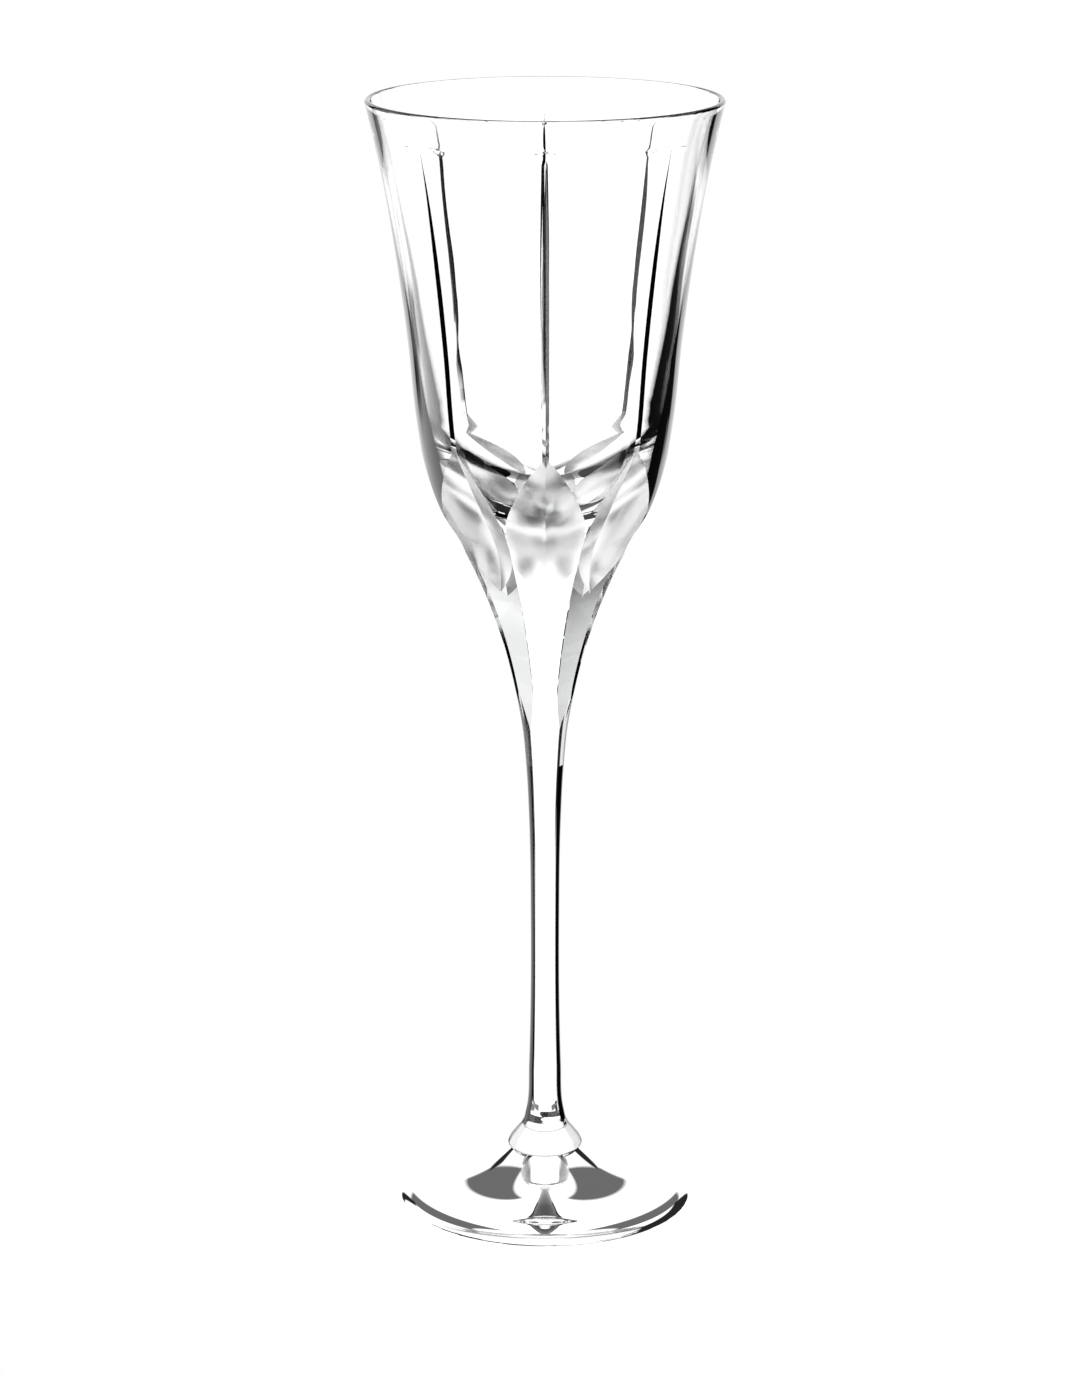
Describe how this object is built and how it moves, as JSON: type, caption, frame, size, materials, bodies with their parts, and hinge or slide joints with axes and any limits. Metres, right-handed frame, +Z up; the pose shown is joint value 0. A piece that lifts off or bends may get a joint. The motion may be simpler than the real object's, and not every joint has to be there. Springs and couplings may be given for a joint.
{
  "type": "champagne flute",
  "caption": "Cut crystal champagne flute: flared bowl with mitre lines and a leaf-cut base, slender stem, small button and round foot.",
  "frame": {"origin": "centre of the plane that the foot rests on", "axes": "+Z up along the stem; a mitre line of the bowl faces each of +X, -X, +Y and -Y"},
  "size_m": [0.0696, 0.0696, 0.225],
  "materials": {
    "blown_crystal": "fire-polished thin wall with polished cuts",
    "solid_crystal": "fire-polished solid crystal"
  },
  "bodies": {
    "root": {"bowl": "blown_crystal", "stem": "solid_crystal", "button": "solid_crystal", "foot": "solid_crystal"}
  },
  "joints": []
}
